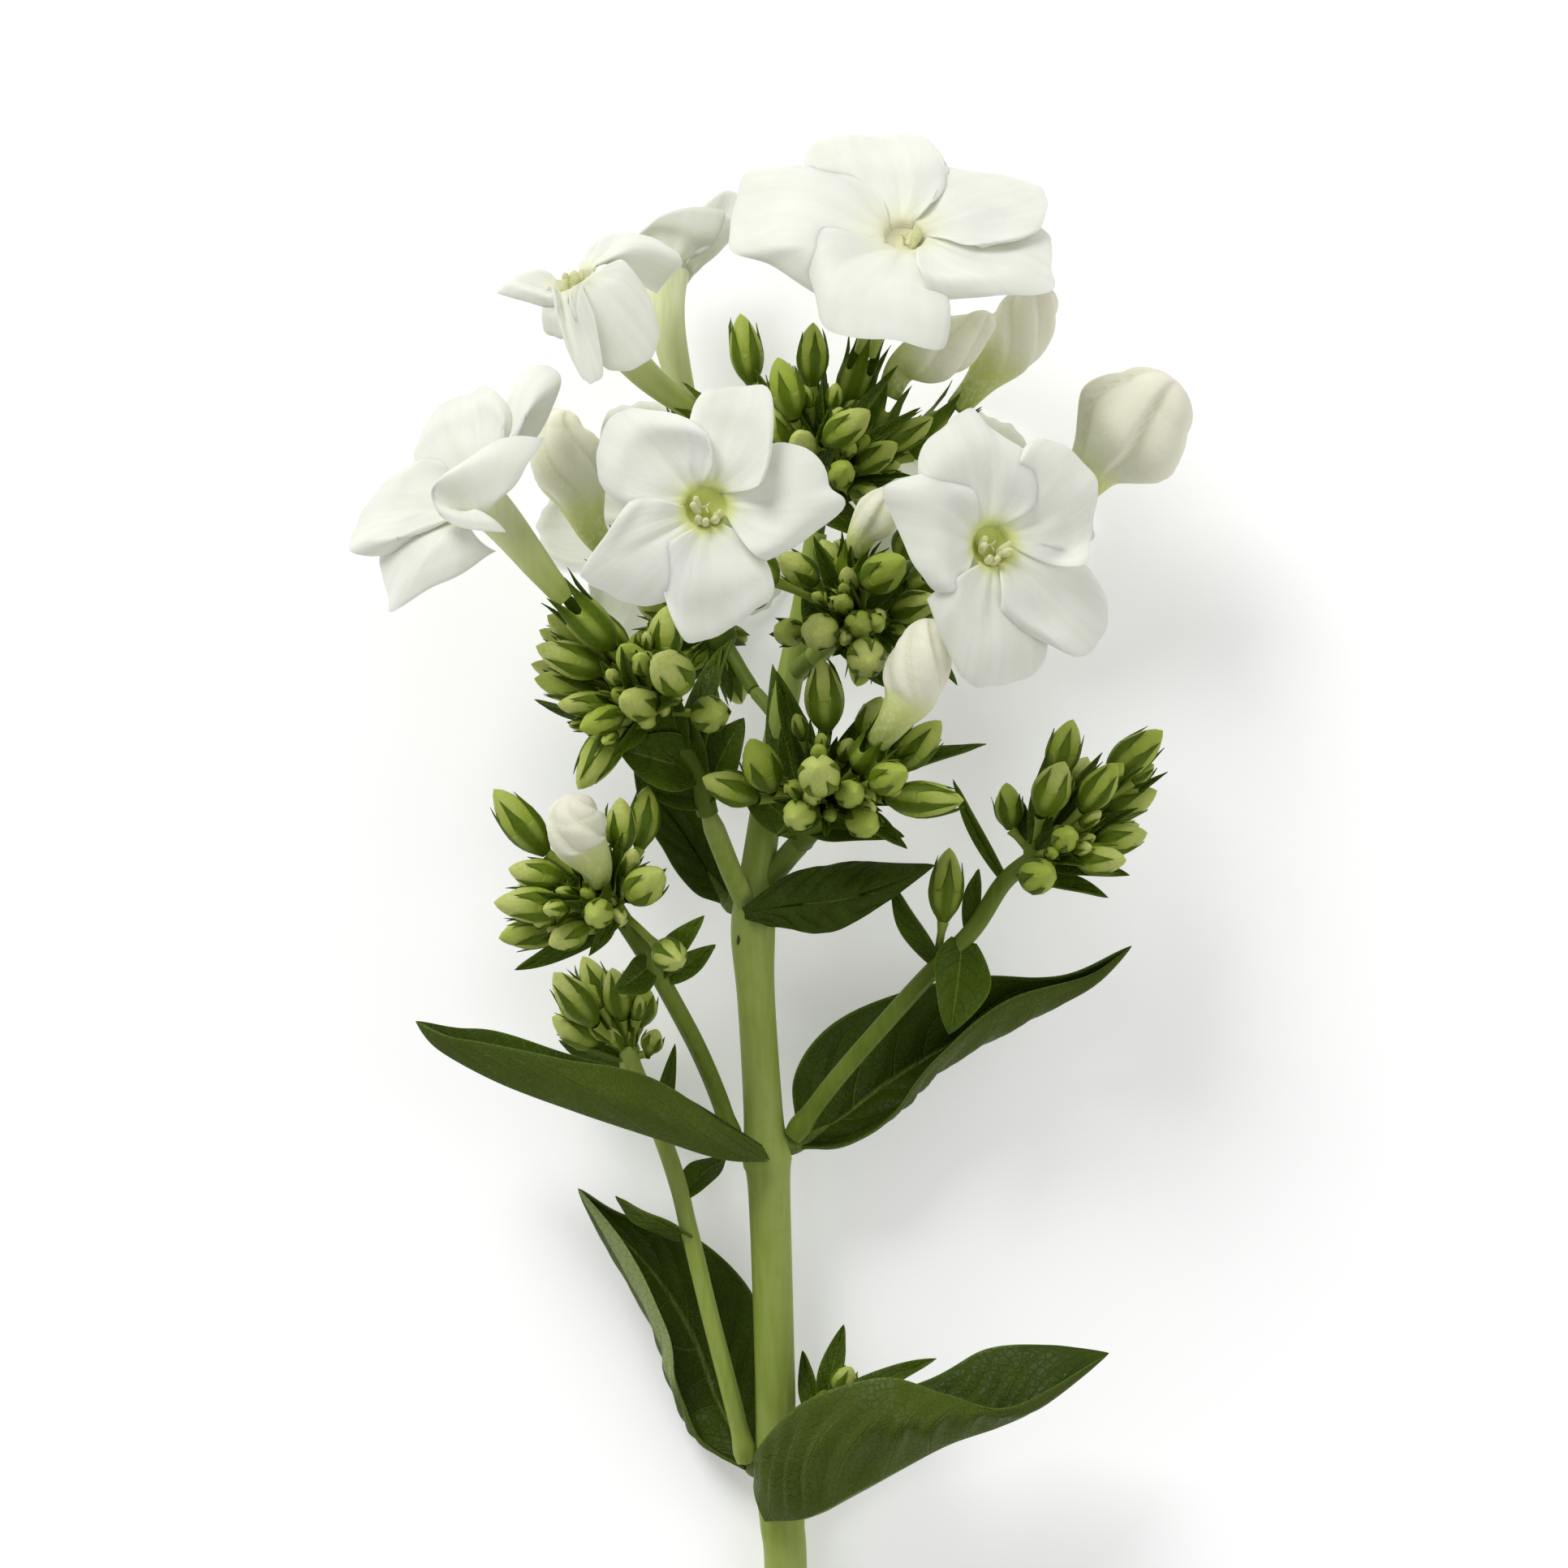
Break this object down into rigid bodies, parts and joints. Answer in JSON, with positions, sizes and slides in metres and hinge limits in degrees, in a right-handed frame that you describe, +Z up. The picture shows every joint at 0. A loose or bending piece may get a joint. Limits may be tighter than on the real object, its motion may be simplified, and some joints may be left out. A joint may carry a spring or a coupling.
{
  "type": "cut phlox stem",
  "caption": "Cut stem of white garden phlox lying on its back: ribbed green stem, folded dark leaves, bud clusters and open five-petalled flowers.",
  "frame": {"origin": "middle of the bounding box at the level of the floor", "axes": "+Y along the stem from its cut end to the flower head, +Z up, away from the floor, the side that the picture shows; +X to the right in the picture"},
  "size_m": [0.104, 0.1978, 0.0645],
  "materials": {
    "stem_green": "satin",
    "leaf_green": "satin",
    "calyx_green": "satin",
    "petal_white": "matte",
    "bud_cream": "matte",
    "anther_yellow": "matte"
  },
  "bodies": {
    "root": {"bud_front": "bud_cream", "bud_left": "bud_cream", "bud_middle": "bud_cream", "bud_right": "bud_cream", "bud_shoot_left": "bud_cream", "bud_top": "bud_cream", "bud_top_right": "bud_cream", "cyme_back_left": "calyx_green", "cyme_back_right": "calyx_green", "cyme_front": "calyx_green", "cyme_left": "calyx_green", "cyme_middle": "calyx_green", "cyme_top": "calyx_green", "flower_back_left": "petal_white", "flower_back_right": "petal_white", "flower_behind": "petal_white", "flower_centre": "petal_white", "flower_centre_stamens": "anther_yellow", "flower_left": "petal_white", "flower_right": "petal_white", "flower_right_stamens": "anther_yellow", "flower_top": "petal_white", "flower_top_stamens": "anther_yellow", "flower_upper_left": "petal_white", "flower_upper_left_stamens": "anther_yellow", "leaf_lower_left": "leaf_green", "leaf_lower_right": "leaf_green", "leaf_middle_left": "leaf_green", "leaf_middle_right": "leaf_green", "leaf_upper_left": "leaf_green", "leaf_upper_right": "leaf_green", "shoot_back_left": "calyx_green", "shoot_left": "calyx_green", "shoot_lower": "calyx_green", "shoot_right": "calyx_green", "stem": "stem_green"}
  },
  "joints": []
}
